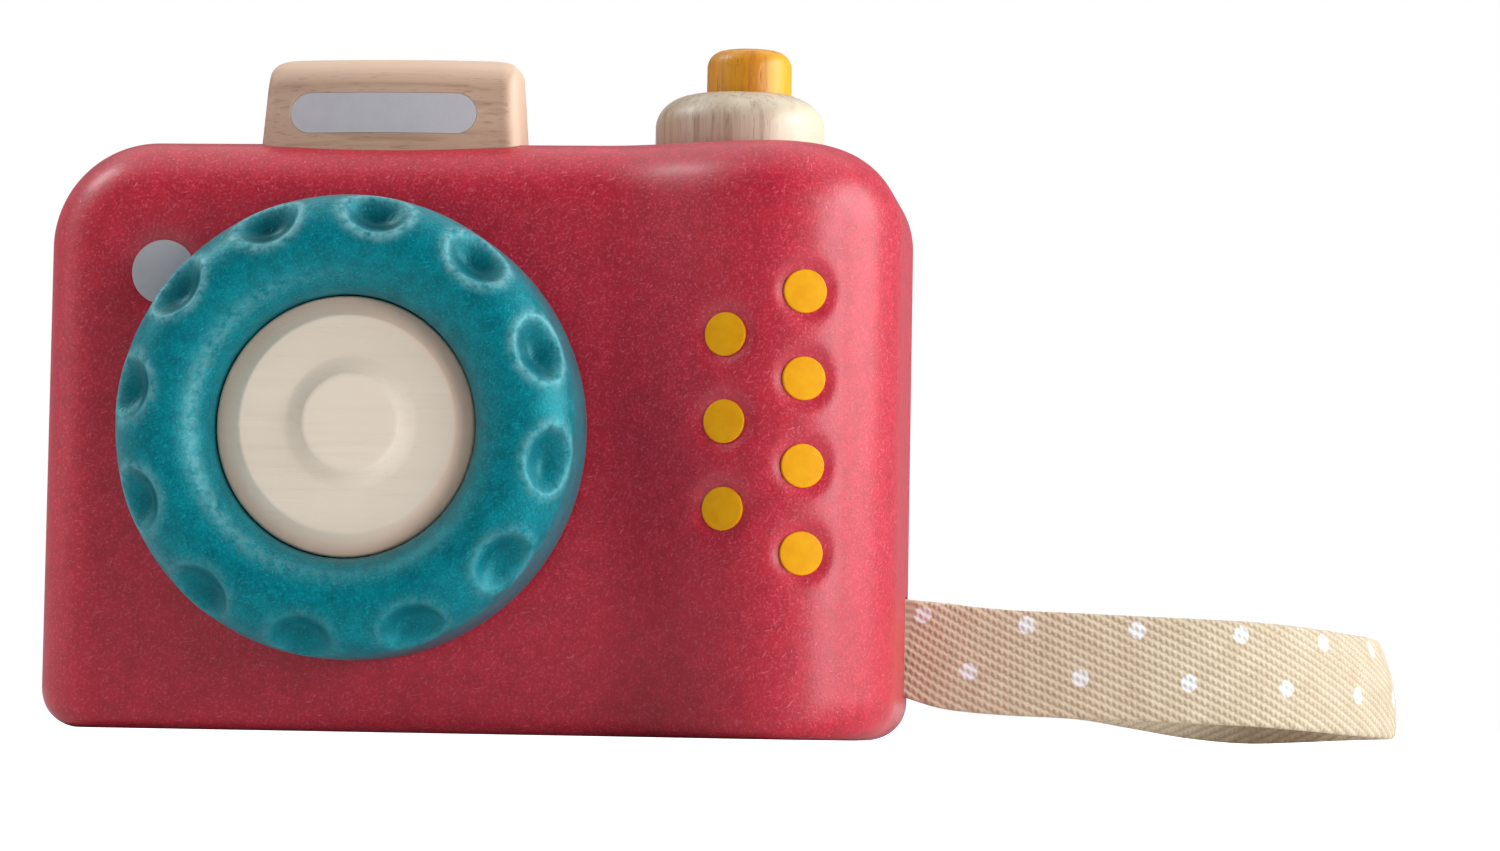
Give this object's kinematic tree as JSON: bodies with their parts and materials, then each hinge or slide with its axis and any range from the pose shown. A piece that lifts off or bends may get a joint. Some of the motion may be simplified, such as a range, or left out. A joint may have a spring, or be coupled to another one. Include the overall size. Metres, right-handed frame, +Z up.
{
  "type": "toy camera",
  "caption": "Wooden toy camera with a turning scalloped lens ring, a sprung shutter button, a flash block, a swollen hand grip with colour dots and a tape wrist loop.",
  "frame": {"origin": "on the table under the middle of the box of the camera without its wrist loop", "axes": "+Z up, -Y out of the lens, +X towards the hand grip, to the right seen from the front"},
  "size_m": [0.1912, 0.1102, 0.0974],
  "materials": {
    "body_red": "stained sawdust composite, satin",
    "ring_teal": "stained sawdust composite, satin",
    "natural_wood": "fine sanded, clear",
    "disc_wood": "fine turned, clear",
    "button_yellow": "stained, satin",
    "dot_yellow": "painted, satin",
    "silver_print": "matt silver grey",
    "felt": "pressed felt",
    "steel": "zinc plated",
    "strap_tape": "cotton twill tape"
  },
  "bodies": {
    "housing": {"front_shell": "body_red", "back_cover": "body_red", "cover_screws": "steel", "lens_hub": "natural_wood", "lens_disc": "disc_wood", "felt_washer": "felt", "hub_washer": "steel", "hub_screw": "steel", "shutter_collar": "natural_wood", "button_spring": "steel", "flash_block": "natural_wood", "flash_dowels": "natural_wood", "flash_window": "silver_print", "sensor_dot": "silver_print", "grip_dots": "dot_yellow", "strap": "strap_tape", "strap_ends": "strap_tape", "strap_pin": "natural_wood"},
    "ring": {"lens_ring": "ring_teal"},
    "button": {"shutter_button": "button_yellow"}
  },
  "joints": [
    {"name": "lens_turn", "type": "hinge", "parent": "housing", "child": "ring", "pos_m": [-0.0135, -0.0085, 0.0413], "axis": [0, -1, 0], "continuous": true},
    {"name": "shutter_press", "type": "slide", "parent": "housing", "child": "button", "axis": [0, 0, -1], "range_m": [0, 0.003], "stiffness_N_per_m": 400, "springref_m": -0.004, "deforming": ["button_spring"]}
  ]
}
